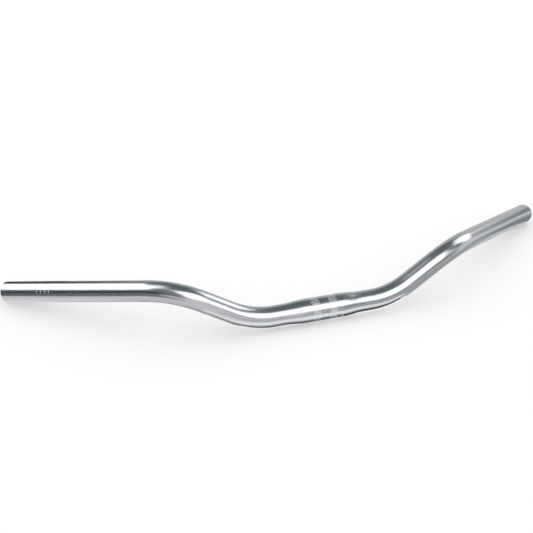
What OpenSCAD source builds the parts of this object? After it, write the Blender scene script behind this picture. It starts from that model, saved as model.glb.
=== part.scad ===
// Riser handlebar for a bicycle: one butted aluminium tube, swaged down at both sides of
// its clamp zone and bent four times. It lies as it comes to rest on a flat surface, on the
// underside of the clamp zone and on the rims of its two open ends.
// Origin: middle of the clamp zone, on the tube's axis. +X runs along the clamp zone,
// +Y is the way the grips sweep back, and +Z is up.

/* [Shape of the bar] */
// Width between the centres of the two open ends
bar_w = 626; // [560:2:760]
// Height of the grips over the clamp zone, with the bar held level in a stem
rise = 43; // [34:1:80]
// Slope of the straight risers beside the clamp zone
riser_angle = 30; // [24:1:36]
// Distance from the bar's middle to the corner where a riser's line meets the clamp axis
knee_x = 77; // [72:1:110]
// Angle by which the grips turn back
backsweep = 37.5; // [15:0.5:45]
// Angle by which the grips point up, below zero where they point down
upsweep = -1.5; // [-6:0.5:6]
// Bend radius between the clamp zone and a riser, at the tube's axis
inner_bend_r = 90; // [60:2:100]
// Bend radius between a riser and a grip, at the tube's axis
outer_bend_r = 70; // [50:2:80]

/* [Tube] */
// Outside diameter of the clamp zone
clamp_d = 25.4; // [24:0.1:31.8]
// Length of the clamp zone at its full diameter
clamp_l = 34; // [24:1:44]
// Outside diameter of the bends, the risers and the grips
grip_d = 22.2; // [20:0.1:23.6]
// Length of the taper at each side of the clamp zone
taper_l = 28; // [12:1:34]
// Wall of the clamp zone
clamp_wall = 3; // [2:0.1:3.6]
// Wall of the bends, the risers and the grips
grip_wall = 2.2; // [1.6:0.1:2.8]
// Chamfer round the outer rim of each open end
end_chamfer = 0.6; // [0.2:0.1:1]

/* [Hidden] */
$fn = 96;

// The tube is drawn in metres and scaled up whole at the end, so that the rounding of its
// angles stays far below the tolerance at which its straights and bends join into one.
mm = 0.001;

clamp_r = clamp_d / 2 * mm;
grip_r = grip_d / 2 * mm;
clamp_bore_r = clamp_r - clamp_wall * mm;
grip_bore_r = grip_r - grip_wall * mm;
clamp_end = clamp_l / 2 * mm;
taper_end = clamp_end + taper_l * mm;
inner_r = inner_bend_r * mm;
outer_r = outer_bend_r * mm;
chamfer = end_chamfer * mm;

// Directions of the right riser and the right grip, with the bar held level in a stem
riser_dir = [cos(riser_angle), 0, sin(riser_angle)];
grip_dir = [cos(upsweep) * cos(backsweep), cos(upsweep) * sin(backsweep), sin(upsweep)];

// Corners where the straights would meet without their bends, and the centre of the open end
riser_l = rise * mm / sin(riser_angle);
inner_corner = [knee_x * mm, 0, 0];
outer_corner = inner_corner + riser_l * riser_dir;
grip_l = (bar_w / 2 * mm - outer_corner.x) / grip_dir.x;
bar_end = outer_corner + grip_l * grip_dir;

// Each bend takes its tangent length from the straights at both its sides
outer_bend_angle = acos(riser_dir * grip_dir);
inner_tangent = inner_r * tan(riser_angle / 2);
outer_tangent = outer_r * tan(outer_bend_angle / 2);
centre_straight = inner_corner.x - inner_tangent;
riser_straight = riser_l - inner_tangent - outer_tangent;
grip_straight = grip_l - outer_tangent;

// Turn about the riser's own axis from the plane of the inner bend to that of the outer one
inner_bend_up = [-sin(riser_angle), 0, cos(riser_angle)];
outer_bend_roll = atan2(grip_dir.y, grip_dir * inner_bend_up);

// Turn about the clamp axis that brings the rims of the open ends down to the level of the
// clamp zone's underside. How far a rim reaches below its centre depends a little on that
// turn, so the turn is found in steps.
rim = bar_end - chamfer * grip_dir;
function rim_drop(turn) =
    grip_r * sqrt(1 - pow(grip_dir.y * sin(turn) + grip_dir.z * cos(turn), 2));
function rest_turn(turn = 0, steps = 12) =
    steps == 0 ? turn
    : rest_turn(asin((rim_drop(turn) - clamp_r) / norm([rim.y, rim.z])) - atan2(rim.z, rim.y),
                steps - 1);

// Moves what follows to the end of a straight that starts at the origin and runs along +X
module after_straight(length)
    translate([length, 0, 0]) children();

// Moves what follows to the end of a bend that starts along +X and turns towards +Z
module after_bend(radius, angle)
    translate([0, 0, radius]) rotate([0, -angle, 0]) translate([0, 0, -radius]) children();

// Turns an outline about the X axis, where its own height runs along +X
module turned_along_x()
    rotate([0, 90, 0]) rotate_extrude() children();

// Outline from the axis out to one taper, between the radii of the middle and of the end.
// Two arcs of one radius meet halfway, so the taper runs out smoothly at both its ends.
module taper_outline(middle_r, end_r) {
    step = middle_r - end_r;
    length = taper_end - clamp_end;
    halfway = clamp_end + length / 2;
    arc_r = (pow(length, 2) + pow(step, 2)) / (4 * step);
    intersection() {
        translate([0, clamp_end]) square([2 * middle_r, length / 2]);
        translate([middle_r - arc_r, clamp_end]) circle(arc_r, $fn = 720);
    }
    difference() {
        translate([0, halfway]) square([middle_r, length / 2]);
        translate([end_r + arc_r, taper_end]) circle(arc_r, $fn = 720);
    }
}

// Outline from the axis out to the whole centre stretch, from one inner bend to the other
module centre_outline(middle_r, end_r) {
    translate([0, -clamp_end]) square([middle_r, 2 * clamp_end]);
    for (side = [0, 1]) mirror([0, side]) {
        taper_outline(middle_r, end_r);
        translate([0, taper_end]) square([end_r, centre_straight - taper_end]);
    }
}

// The clamp zone with its two tapers, thicker in the middle than at the bends
module centre_tube()
    turned_along_x() difference() {
        centre_outline(clamp_r, grip_r);
        centre_outline(clamp_bore_r, grip_bore_r);
    }

// A bend, which starts along +X and turns towards +Z
module bent_tube(radius, angle)
    translate([0, 0, radius]) rotate([90, 0, 0]) rotate([0, 0, -90])
        rotate_extrude(angle = angle) translate([radius, 0]) difference() {
            circle(grip_r);
            circle(grip_bore_r);
        }

// The straight riser between the two bends of one side
module riser_tube()
    turned_along_x() translate([grip_bore_r, 0]) square([grip_r - grip_bore_r, riser_straight]);

// The straight that takes the grip and the levers, with its rim chamfered at the open end
module grip_tube()
    turned_along_x() polygon([
        [grip_bore_r, 0], [grip_r, 0], [grip_r, grip_straight - chamfer],
        [grip_r - chamfer, grip_straight], [grip_bore_r, grip_straight]
    ]);

// One side of the bar, from its inner bend out to the open end
module arm()
    after_straight(centre_straight) {
        bent_tube(inner_r, riser_angle);
        after_bend(inner_r, riser_angle) {
            riser_tube();
            after_straight(riser_straight) rotate([-outer_bend_roll, 0, 0]) {
                bent_tube(outer_r, outer_bend_angle);
                after_bend(outer_r, outer_bend_angle) grip_tube();
            }
        }
    }

module handlebar()
    color("silver") scale(1 / mm) rotate([rest_turn(), 0, 0]) {
        centre_tube();
        arm();
        mirror([1, 0, 0]) arm();
    }

handlebar();
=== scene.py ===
# Riser handlebar: one length of aluminium tube, drawn down at both sides of its clamp zone,
# bent four times and clear anodised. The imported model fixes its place, and this script
# gives it its looks.
import math
from collections import namedtuple

import bpy
from mathutils import Matrix, Vector
from mathutils.kdtree import KDTree


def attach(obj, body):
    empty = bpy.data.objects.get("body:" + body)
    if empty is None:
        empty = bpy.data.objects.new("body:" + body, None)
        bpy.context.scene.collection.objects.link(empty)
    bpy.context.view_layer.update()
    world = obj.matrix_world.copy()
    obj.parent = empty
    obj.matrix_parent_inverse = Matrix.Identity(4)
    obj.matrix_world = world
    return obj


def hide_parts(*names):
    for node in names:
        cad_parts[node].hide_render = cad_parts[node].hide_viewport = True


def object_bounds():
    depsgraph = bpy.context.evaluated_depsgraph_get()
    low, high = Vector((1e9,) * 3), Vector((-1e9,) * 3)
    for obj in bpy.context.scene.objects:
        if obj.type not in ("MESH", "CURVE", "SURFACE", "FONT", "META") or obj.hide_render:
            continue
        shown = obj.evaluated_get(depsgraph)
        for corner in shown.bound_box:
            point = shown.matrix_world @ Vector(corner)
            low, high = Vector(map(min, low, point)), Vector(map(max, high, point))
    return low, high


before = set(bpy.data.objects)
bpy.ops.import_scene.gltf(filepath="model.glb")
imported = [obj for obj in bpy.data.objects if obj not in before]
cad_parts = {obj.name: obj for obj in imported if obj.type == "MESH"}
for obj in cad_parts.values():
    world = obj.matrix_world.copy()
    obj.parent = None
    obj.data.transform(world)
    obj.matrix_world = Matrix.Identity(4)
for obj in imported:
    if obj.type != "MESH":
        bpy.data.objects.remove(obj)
cad_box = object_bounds()

# The camera stands where the photograph was taken: before the bar, to its left and above it.
bpy.ops.object.camera_add(location=(-0.27724, -0.71875, 0.51579),
                          rotation=(math.radians(58.784), 0, math.radians(-16.768)))
camera = bpy.context.object
camera.name = "camera"
camera.data.lens = 60
bpy.context.scene.camera = camera

# The tube is one piece of seamless aluminium, swaged thinner at both sides of its clamp zone
# and bent round two dies on each side. One ring of points walks out along the right half,
# over the rim of the open end and back along the bore, and the left half is its mirror image.
CLAMP_R = 0.0127
GRIP_R = 0.0111
CLAMP_BORE_R = 0.0097
GRIP_BORE_R = 0.0089
CLAMP_END = 0.017
TAPER_END = 0.045
TAPER_STEPS = 14
INNER_BEND_R = 0.090
OUTER_BEND_R = 0.070
BEND_STEP = math.radians(1.5)
END_RING = 0.002
RING_POINTS = 96
MIRROR_MERGE = 0.00001
POINT_MERGE = 0.000002
SMOOTH_ANGLE = math.radians(30)

# The open end is chamfered outside and deburred inside. Each point of its outline has its
# distance before the end's plane, and its radius.
RIM_OUTLINE = ((0.00068, GRIP_R), (0.00060, 0.01108), (0.00053, 0.01103), (0.00007, 0.01057),
               (0.00002, 0.01050), (0, 0.01043), (0, 0.00902), (0.00003, 0.00895),
               (0.00010, GRIP_BORE_R))

# Which way the clamp zone, the riser and the grip run on the right, the corners where they
# would meet without their bends, and the middle of the open end.
TO_INNER_CORNER = 0.077
TO_OUTER_CORNER = 0.086
clamp_way = Vector((1, 0, 0))
riser_way = Vector((0.866025, 0.152671, 0.476120)).normalized()
grip_way = Vector((0.793081, 0.571495, -0.210750)).normalized()
inner_corner = TO_INNER_CORNER * clamp_way
outer_corner = inner_corner + TO_OUTER_CORNER * riser_way
open_end = Vector((0.313, 0.129523, -0.001976))

Station = namedtuple("Station", "place way up along radius")


def draw_on(station, length, radius=None):
    """Draws the ring straight on by a length, and to another radius where one is given."""
    radius = radius or station.radius
    place = station.place + length * station.way
    share = radius / station.radius
    bpy.ops.mesh.extrude_region_move(TRANSFORM_OT_translate={"value": length * station.way})
    bpy.ops.transform.resize(value=(share, share, share), center_override=place)
    return Station(place, station.way, station.up, station.along + length, radius)


def draw_to(station, place, radius):
    """Draws the ring straight on to a place on its line, and to another radius."""
    return draw_on(station, (place - station.place).dot(station.way), radius)


def draw_straight(station, place):
    """Draws one straight stretch, with a ring close to both its ends that holds its gloss."""
    length = (place - station.place).dot(station.way)
    first = draw_on(station, END_RING)
    second = draw_on(first, length - 2 * END_RING)
    return [first, second, draw_on(second, END_RING)]


def bend_start(corner, way, next_way, radius):
    """Where a bend leaves the line that it comes in on."""
    return corner - radius * math.tan(way.angle(next_way) / 2) * way


def bend_on(station, next_way, bend_r):
    """Bends the tube round a die until it runs the next way."""
    angle = station.way.angle(next_way)
    inwards = (next_way - next_way.dot(station.way) * station.way).normalized()
    axis = station.way.cross(inwards)
    centre = station.place + bend_r * inwards
    steps = math.ceil(angle / BEND_STEP)
    # A spin counts its angle clockwise about the axis, so the turn is given with a minus.
    bpy.ops.mesh.spin(steps=steps, angle=-angle, center=centre, axis=axis)
    bent = []
    for step in range(1, steps + 1):
        turn = Matrix.Rotation(angle * step / steps, 3, axis)
        bent.append(Station(centre + turn @ (station.place - centre), turn @ station.way,
                            turn @ station.up, station.along + bend_r * angle * step / steps,
                            station.radius))
    return bent


def taper_radius(clamp_r, grip_r, share):
    """Radius at a share of the taper's length, from the clamp zone out."""
    if share < 0.5:
        return clamp_r - 2 * (clamp_r - grip_r) * share ** 2
    return grip_r + 2 * (clamp_r - grip_r) * (1 - share) ** 2


bpy.ops.object.select_all(action="DESELECT")
bpy.ops.mesh.primitive_circle_add(vertices=RING_POINTS, radius=CLAMP_R,
                                  rotation=(0, math.pi / 2, 0))
tube = bpy.context.object
tube.name = "tube"
bpy.ops.object.transform_apply(location=False, rotation=True, scale=False)
bpy.ops.object.mode_set(mode="EDIT")
bpy.ops.mesh.select_all(action="SELECT")

taper_step = (TAPER_END - CLAMP_END) / TAPER_STEPS
walk = [Station(Vector((0, 0, 0)), clamp_way, Vector((0, 0, 1)), 0.0, CLAMP_R)]
walk += draw_straight(walk[-1], CLAMP_END * clamp_way)
for step in range(1, TAPER_STEPS + 1):
    walk.append(draw_on(walk[-1], taper_step, taper_radius(CLAMP_R, GRIP_R, step / TAPER_STEPS)))
walk += draw_straight(walk[-1], bend_start(inner_corner, clamp_way, riser_way, INNER_BEND_R))
walk += bend_on(walk[-1], riser_way, INNER_BEND_R)
walk += draw_straight(walk[-1], bend_start(outer_corner, riser_way, grip_way, OUTER_BEND_R))
walk += bend_on(walk[-1], grip_way, OUTER_BEND_R)
walk += draw_straight(walk[-1], open_end - 2 * RIM_OUTLINE[0][0] * grip_way)
for before_end, radius in RIM_OUTLINE:
    walk.append(draw_to(walk[-1], open_end - before_end * grip_way, radius))
half_length = max(station.along for station in walk)

inside = Station(walk[-1].place, -grip_way, walk[-1].up, 0.0, GRIP_BORE_R)
inside = draw_straight(inside, bend_start(outer_corner, -grip_way, -riser_way, OUTER_BEND_R))[-1]
inside = bend_on(inside, -riser_way, OUTER_BEND_R)[-1]
inside = draw_straight(inside, bend_start(inner_corner, -riser_way, -clamp_way, INNER_BEND_R))[-1]
inside = bend_on(inside, -clamp_way, INNER_BEND_R)[-1]
inside = draw_straight(inside, TAPER_END * clamp_way)[-1]
for step in range(TAPER_STEPS - 1, -1, -1):
    inside = draw_on(inside, taper_step,
                     taper_radius(CLAMP_BORE_R, GRIP_BORE_R, step / TAPER_STEPS))
draw_straight(inside, Vector((0, 0, 0)))

bpy.ops.object.mode_set(mode="OBJECT")
mirror = tube.modifiers.new("left half", "MIRROR")
mirror.merge_threshold = MIRROR_MERGE
bpy.ops.object.modifier_apply(modifier=mirror.name)
bpy.ops.object.mode_set(mode="EDIT")
bpy.ops.mesh.select_all(action="SELECT")
bpy.ops.mesh.remove_doubles(threshold=POINT_MERGE)
bpy.ops.mesh.normals_make_consistent(inside=False)
bpy.ops.mesh.select_all(action="DESELECT")
bpy.ops.object.mode_set(mode="OBJECT")
bpy.ops.object.shade_smooth_by_angle(angle=SMOOTH_ANGLE)

# Each point keeps the place that it had on the straight tube, before it was bent: how far
# along it was, and how far back and up from the axis. The finish's patterns follow this.
nearest = KDTree(len(walk))
for number, station in enumerate(walk):
    nearest.insert(station.place, number)
nearest.balance()
unbent = tube.data.attributes.new("unbent", "FLOAT_VECTOR", "POINT")
for point in tube.data.vertices:
    on_right = Vector((abs(point.co.x), point.co.y, point.co.z))
    station = walk[nearest.find(on_right)[1]]
    from_axis = on_right - station.place
    along = station.along + from_axis.dot(station.way)
    unbent.data[point.index].vector = (math.copysign(along, point.co.x),
                                       from_axis.dot(station.up.cross(station.way)),
                                       from_axis.dot(station.up))

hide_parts("handlebar")
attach(tube, "root")

# The finish outside is polished in line with the tube and clear anodised, so a fine drawn
# grain shows in its gloss. A laser etched two scales round the clamp zone, which show how
# far the bar is turned in its stem, and four cut marks before the left end.
SILVER_DARKER = (0.485, 0.490, 0.510, 1)
SILVER_PALER = (0.515, 0.519, 0.538, 1)
CLOUD_SCALE = 35
OUTSIDE_ROUGHNESS = (0.21, 0.27)
GRAIN_DEPTH = 0.000004
ETCHED_WHITE = (0.74, 0.74, 0.75, 1)
ETCHED_ROUGHNESS = 0.6
LEFT_SCALE_START = -0.0055
RIGHT_SCALE_START = 0.0048
CUTS_OVER_FRONT = 0.0030
LONG_TICK_EVERY = 4


def reckon(tree, operation, *values):
    """The result of a math node that takes sockets or plain numbers."""
    node = tree.nodes.new("ShaderNodeMath")
    node.operation = operation
    for socket, value in zip(node.inputs, values):
        if isinstance(value, (int, float)):
            socket.default_value = value
        else:
            tree.links.new(value, socket)
    return node.outputs[0]


def new_group(name, inputs, outputs):
    """A shader node group with named inputs and outputs, and its own two end nodes."""
    group = bpy.data.node_groups.new(name, "ShaderNodeTree")
    for label, kind in inputs:
        group.interface.new_socket(label, in_out="INPUT", socket_type=kind)
    for label, kind in outputs:
        group.interface.new_socket(label, in_out="OUTPUT", socket_type=kind)
    return group, group.nodes.new("NodeGroupInput"), group.nodes.new("NodeGroupOutput")


def place_group(tree, group, **values):
    """A group placed in a material, with its values as sockets or plain numbers."""
    node = tree.nodes.new("ShaderNodeGroup")
    node.node_tree = group
    for label, value in values.items():
        socket = node.inputs[label.replace("_", " ")]
        if isinstance(value, (int, float)):
            socket.default_value = value
        else:
            tree.links.new(value, socket)
    return node.outputs


# Drawn grain: streaks that are long in line with the tube and fine across it.
drawn_grain, given, made = new_group(
    "drawn grain",
    (("place", "NodeSocketVector"), ("streaks", "NodeSocketFloat"), ("length", "NodeSocketFloat")),
    (("height", "NodeSocketFloat"),))
stretch = drawn_grain.nodes.new("ShaderNodeCombineXYZ")
drawn_grain.links.new(given.outputs["length"], stretch.inputs["X"])
drawn_grain.links.new(given.outputs["streaks"], stretch.inputs["Y"])
drawn_grain.links.new(given.outputs["streaks"], stretch.inputs["Z"])
stretched = drawn_grain.nodes.new("ShaderNodeVectorMath")
stretched.operation = "MULTIPLY"
drawn_grain.links.new(given.outputs["place"], stretched.inputs[0])
drawn_grain.links.new(stretch.outputs[0], stretched.inputs[1])
streaky = drawn_grain.nodes.new("ShaderNodeTexNoise")
streaky.inputs["Scale"].default_value = 1
streaky.inputs["Detail"].default_value = 3
streaky.inputs["Roughness"].default_value = 0.6
drawn_grain.links.new(stretched.outputs[0], streaky.inputs["Vector"])
drawn_grain.links.new(streaky.outputs[0], made.inputs["height"])

# Etched ticks: strokes at an even pitch along one line, and every fourth one longer.
etched_ticks, given, made = new_group(
    "etched ticks",
    (("run", "NodeSocketFloat"), ("run from", "NodeSocketFloat"), ("run to", "NodeSocketFloat"),
     ("across", "NodeSocketFloat"), ("short", "NodeSocketFloat"), ("long", "NodeSocketFloat"),
     ("pitch", "NodeSocketFloat"), ("stroke", "NodeSocketFloat")),
    (("mask", "NodeSocketFloat"),))
given = given.outputs
number = reckon(etched_ticks, "ROUND", reckon(etched_ticks, "DIVIDE", given["run"],
                                              given["pitch"]))
off_line = reckon(etched_ticks, "SUBTRACT", given["run"],
                  reckon(etched_ticks, "MULTIPLY", number, given["pitch"]))
on_line = reckon(etched_ticks, "LESS_THAN", reckon(etched_ticks, "ABSOLUTE", off_line),
                 reckon(etched_ticks, "MULTIPLY", given["stroke"], 0.5))
is_long = reckon(etched_ticks, "COMPARE",
                 reckon(etched_ticks, "FLOORED_MODULO", number, LONG_TICK_EVERY), 0, 0.1)
reach = reckon(etched_ticks, "MULTIPLY_ADD",
               reckon(etched_ticks, "SUBTRACT", given["long"], given["short"]), is_long,
               given["short"])
mask = reckon(etched_ticks, "MULTIPLY", on_line,
              reckon(etched_ticks, "GREATER_THAN", given["across"], 0))
for test, value, limit in (("LESS_THAN", given["across"], reach),
                           ("GREATER_THAN", given["run"], given["run from"]),
                           ("LESS_THAN", given["run"], given["run to"])):
    mask = reckon(etched_ticks, "MULTIPLY", mask, reckon(etched_ticks, test, value, limit))
etched_ticks.links.new(mask, made.inputs["mask"])


def new_metal(name):
    """A metal with its shader, and the place of each point on the straight tube."""
    metal = bpy.data.materials.new(name)
    metal.use_nodes = True
    shader = metal.node_tree.nodes["Principled BSDF"]
    shader.inputs["Metallic"].default_value = 1
    place = metal.node_tree.nodes.new("ShaderNodeAttribute")
    place.attribute_name = "unbent"
    tube.data.materials.append(metal)
    return metal.node_tree, shader, place.outputs["Vector"]


def raise_by(tree, shader, height, distance):
    """Bumps the surface by a height from 0 to 1, times a distance in metres."""
    bump = tree.nodes.new("ShaderNodeBump")
    bump.inputs["Distance"].default_value = distance
    tree.links.new(height, bump.inputs["Height"])
    tree.links.new(bump.outputs["Normal"], shader.inputs["Normal"])


def spread(tree, value, lowest, highest):
    """A value from 0 to 1, spread from the lowest to the highest."""
    ranged = tree.nodes.new("ShaderNodeMapRange")
    ranged.inputs["To Min"].default_value = lowest
    ranged.inputs["To Max"].default_value = highest
    tree.links.new(value, ranged.inputs["Value"])
    return ranged.outputs["Result"]


def mix_colours(tree, share, first, second):
    """A colour between two, each of them a plain colour or a socket."""
    mix = tree.nodes.new("ShaderNodeMix")
    mix.data_type = "RGBA"
    tree.links.new(share, mix.inputs["Factor"])
    # Its colour sockets share their names with others, so they are taken by their number.
    for socket, value in ((mix.inputs[6], first), (mix.inputs[7], second)):
        if isinstance(value, tuple):
            socket.default_value = value
        else:
            tree.links.new(value, socket)
    return mix.outputs[2]


outside, shader, place = new_metal("clear anodised outside")
parts = outside.nodes.new("ShaderNodeSeparateXYZ")
outside.links.new(place, parts.inputs[0])
along, back, up = parts.outputs
from_front = reckon(outside, "ARCTAN2", up, reckon(outside, "MULTIPLY", back, -1))
round_clamp = reckon(outside, "MULTIPLY", from_front, CLAMP_R)
round_grip = reckon(outside, "MULTIPLY", from_front, GRIP_R)
etched = None
for start, outwards in ((LEFT_SCALE_START, -1), (RIGHT_SCALE_START, 1)):
    from_start = reckon(outside, "SUBTRACT", along, start)
    scale = place_group(outside, etched_ticks, run=round_clamp, run_from=-0.0115, run_to=0.0235,
                        across=reckon(outside, "MULTIPLY", from_start, outwards),
                        short=0.0080, long=0.0095, pitch=0.0019, stroke=0.0007)["mask"]
    etched = reckon(outside, "MAXIMUM", etched, scale) if etched else scale
cuts = place_group(outside, etched_ticks, run=along, run_from=-0.3165, run_to=-0.2965,
                   across=reckon(outside, "SUBTRACT", round_grip, CUTS_OVER_FRONT),
                   short=0.0026, long=0.0026, pitch=0.0050, stroke=0.0009)["mask"]
etched = reckon(outside, "MAXIMUM", etched, cuts)
clouds = outside.nodes.new("ShaderNodeTexNoise")
clouds.inputs["Scale"].default_value = CLOUD_SCALE
clouds.inputs["Detail"].default_value = 2
outside.links.new(place, clouds.inputs["Vector"])
silver = mix_colours(outside, clouds.outputs[0], SILVER_DARKER, SILVER_PALER)
outside.links.new(mix_colours(outside, etched, silver, ETCHED_WHITE),
                  shader.inputs["Base Color"])
grain = place_group(outside, drawn_grain, place=place, streaks=2600, length=45)["height"]
rough_metal = spread(outside, grain, *OUTSIDE_ROUGHNESS)
rough_marks = reckon(outside, "MULTIPLY", etched, ETCHED_ROUGHNESS)
outside.links.new(reckon(outside, "MAXIMUM", rough_metal, rough_marks), shader.inputs["Roughness"])
raise_by(outside, shader, grain, GRAIN_DEPTH)

# The rims of the open ends are bare metal, turned square and chamfered in a lathe. The tool
# leaves fine rings round the axis.
RIM_SILVER = (0.56, 0.565, 0.58, 1)
RIM_ROUGHNESS = (0.22, 0.38)
RING_SCALE = 9000
RING_DEPTH = 0.00001
rims, shader, place = new_metal("turned rims")
shader.inputs["Base Color"].default_value = RIM_SILVER
parts = rims.nodes.new("ShaderNodeSeparateXYZ")
rims.links.new(place, parts.inputs[0])
back_squared = reckon(rims, "POWER", parts.outputs["Y"], 2)
up_squared = reckon(rims, "POWER", parts.outputs["Z"], 2)
radius = reckon(rims, "SQRT", reckon(rims, "ADD", back_squared, up_squared))
rings = rims.nodes.new("ShaderNodeTexNoise")
rings.noise_dimensions = "1D"
rings.inputs["Scale"].default_value = RING_SCALE
rims.links.new(radius, rings.inputs["W"])
rims.links.new(spread(rims, rings.outputs[0], *RIM_ROUGHNESS), shader.inputs["Roughness"])
raise_by(rims, shader, rings.outputs[0], RING_DEPTH)

# The bore keeps the dull, streaked skin that it got when the tube was drawn over a mandrel,
# with the same grain as outside, but coarser.
BORE_DARKER = (0.27, 0.275, 0.285, 1)
BORE_PALER = (0.42, 0.425, 0.435, 1)
BORE_ROUGHNESS = (0.36, 0.52)
BORE_GRAIN_DEPTH = 0.00003
bore, shader, place = new_metal("drawn bore")
streaks = place_group(bore, drawn_grain, place=place, streaks=1400, length=20)["height"]
bore.links.new(mix_colours(bore, streaks, BORE_DARKER, BORE_PALER), shader.inputs["Base Color"])
bore.links.new(spread(bore, streaks, *BORE_ROUGHNESS), shader.inputs["Roughness"])
raise_by(bore, shader, streaks, BORE_GRAIN_DEPTH)

OUTSIDE, RIM, BORE = range(3)
for face in tube.data.polygons:
    places = [unbent.data[index].vector for index in face.vertices]
    middle = sum(places, Vector((0, 0, 0))) / len(places)
    if abs(middle.x) > half_length - RIM_OUTLINE[0][0]:
        face.material_index = RIM
    elif middle.yz.length < (CLAMP_BORE_R + GRIP_R) / 2:
        face.material_index = BORE
    else:
        face.material_index = OUTSIDE

# The studio is a white room with a pale floor, on which the room's even light leaves the bar's
# soft shadow. Where the floor is seen by the camera, in the metal or through glass, a little
# glow lifts it to white.
FLOOR_SIZE = 16
FLOOR_LIFT = 0.22


def seen_directly(tree):
    """1 where a ray comes from the camera, a gloss or through glass, and 0 elsewhere."""
    path = tree.nodes.new("ShaderNodeLightPath").outputs
    seen = reckon(tree, "MAXIMUM", path["Is Camera Ray"], path["Is Glossy Ray"])
    return reckon(tree, "MAXIMUM", seen, path["Is Transmission Ray"])


bpy.ops.object.select_all(action="DESELECT")
bpy.ops.mesh.primitive_plane_add(size=FLOOR_SIZE, location=(0, 0, cad_box[0][2]))
floor = bpy.context.object
floor.name = "floor"
pale = bpy.data.materials.new("pale floor")
pale.use_nodes = True
shader = pale.node_tree.nodes["Principled BSDF"]
shader.inputs["Base Color"].default_value = (0.8, 0.8, 0.8, 1)
shader.inputs["Roughness"].default_value = 0.9
shader.inputs["Specular IOR Level"].default_value = 0
shader.inputs["Emission Color"].default_value = (1, 1, 1, 1)
lift = reckon(pale.node_tree, "MULTIPLY", seen_directly(pale.node_tree), FLOOR_LIFT)
pale.node_tree.links.new(lift, shader.inputs["Emission Strength"])
floor.data.materials.append(pale)

room = bpy.data.worlds.new("white room")
room.use_nodes = True
room.node_tree.nodes["Background"].inputs["Color"].default_value = (1, 1, 1, 1)
room.node_tree.nodes["Background"].inputs["Strength"].default_value = 1
bpy.context.scene.world = room

# Soft boxes light the bar alone. Between them stand cards that glow with their own grey, from dark
# grey to white, and show only in the metal's gloss as painted reflections, which draw light and
# dark bands along the tube. Each faces the bar's middle from a bearing, turned from +Y towards +X,
# and a height, both in degrees, at a distance in metres.


def stand_at(bearing, height, distance):
    """Place and turn of something that faces the bar's middle from there."""
    turned = math.radians(bearing)
    raised = math.radians(height)
    way = Vector((math.sin(turned) * math.cos(raised), math.cos(turned) * math.cos(raised),
                  math.sin(raised)))
    return distance * way, way.to_track_quat("Z", "Y").to_euler()


lit = bpy.data.collections.new("lit by the soft boxes")
lit.objects.link(tube)
for name, bearing, height, distance, width, tall, brightness in (
        ("soft box left", -64, 47, 2.8, 3.00, 1.96, 2.0),
        ("soft box right front", 167, 47.6, 1.3, 1.12, 1.05, 2.0),
        ("soft box right", 72, 35.2, 1.5, 0.94, 0.94, 2.0)):
    place, turn = stand_at(bearing, height, distance)
    bpy.ops.object.light_add(type="AREA", location=place, rotation=turn)
    box = bpy.context.object
    box.name = name
    box.data.shape = "RECTANGLE"
    box.data.size = width
    box.data.size_y = tall
    box.data.energy = brightness * math.pi * width * tall
    box.visible_camera = False
    box.light_linking.receiver_collection = lit


CARD_TINT = 0.2


def put_card(name, place, turn, width, tall, brightness):
    """A glowing card, seen only in the gloss as a painted reflection. The darker it is, the cooler
    its grey.
    """
    bpy.ops.mesh.primitive_plane_add(size=1, location=place, rotation=turn)
    card = bpy.context.object
    card.name = name
    card.scale = (width, tall, 1)
    card.visible_camera = False
    card.visible_diffuse = False
    card.visible_shadow = False
    grey = bpy.data.materials.new(name)
    grey.use_nodes = True
    shader = grey.node_tree.nodes["Principled BSDF"]
    shader.inputs["Base Color"].default_value = (0, 0, 0, 1)
    shader.inputs["Specular IOR Level"].default_value = 0
    cool = max(0, CARD_TINT * (1 - brightness))
    shader.inputs["Emission Color"].default_value = ((1 - cool) * brightness, brightness,
                                                     (1 + CARD_TINT * cool) * brightness, 1)
    shader.inputs["Emission Strength"].default_value = 1
    card.data.materials.append(grey)


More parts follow.
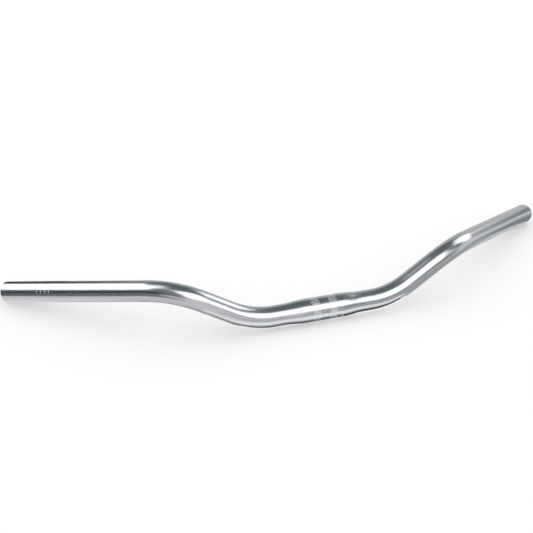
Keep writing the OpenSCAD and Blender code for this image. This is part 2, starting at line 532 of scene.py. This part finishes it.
for name, bearing, height, distance, width, tall, brightness in (
        ("card left front", -105, 0, 1.9, 2.20, 2.00, 0.07),
        ("card behind left", -20.8, -13.6, 1.0, 0.36, 1.80, 0.04),
        ("card above", 39, 73, 2.2, 4.40, 3.14, 0.18),
        ("card front", -138, 35, 2.3, 2.30, 2.40, 0.26),
        ("card behind", 17, 19.5, 3.2, 4.50, 2.50, 0.68),
        ("card right", 63, -8.4, 2.6, 1.04, 1.90, 0.18),
        ("card high right", 108, 32, 2.0, 0.75, 0.75, 0.20),
        ("card high front", -160, 67, 3.0, 1.40, 1.20, 0.50),
        ("pale card high left", -70, 65, 1.5, 0.60, 0.42, 1.5),
        ("card right front", 140, -5, 2.5, 2.18, 2.02, 0.24),
        ("card far right", 63, 7.7, 2.8, 0.66, 1.26, 0.52)):
    put_card(name, *stand_at(bearing, height, distance), width, tall, brightness)

# More cards lie on the floor, each a hair above the one before, and glow like those above. The
# darker floor cards are painted shade on the floor away from the bar. Narrow strips under the bar
# draw the thin lines along its underside: the dark ones are a painted shadow beneath the bar, and
# the pale ones are painted light on the floor beside and under it.
LOWEST_CARD = cad_box[0][2] + 0.0003
CARD_GAP = 0.00002
for number, (name, x, y, turn, width, tall, brightness) in enumerate((
        ("floor card behind left", -0.393, 0.380, 0, 0.30, 0.45, 0.06),
        ("floor card left front", -0.600, -0.105, 30, 0.65, 0.55, 0.195),
        ("floor card right", 0.3533, 0.0673, -23, 0.112, 0.200, 0.36),
        ("floor card behind right", 0.450, 0.420, -30, 0.45, 0.60, 0.68),
        ("floor card right front", 0.1567, -0.1564, 22, 0.458, 0.312, 0.60),
        ("painted light strip in front", -0.014, -0.0272, -1.8, 0.242, 0.018, 1.5),
        ("painted light strip far left", -0.275, 0.079, -43.5, 0.135, 0.028, 1.12),
        ("painted light strip left", -0.0345, 0.0014, -2.0, 0.109, 0.012, 1.9),
        ("painted light strip right", 0.0610, -0.0005, -0.6, 0.080, 0.012, 1.9),
        ("painted shadow strip far left", -0.161, 0.0200, -31.0, 0.072, 0.008, 0.12),
        ("painted shadow strip left", -0.054, -0.0088, -3.0, 0.148, 0.007, 0.18),
        ("painted shadow strip right", 0.0578, -0.0105, -0.6, 0.0725, 0.008, 0.04))):
    put_card(name, (x, y, LOWEST_CARD + CARD_GAP * number), (0, 0, math.radians(turn)),
             width, tall, brightness)

bpy.context.scene.view_settings.view_transform = "Standard"
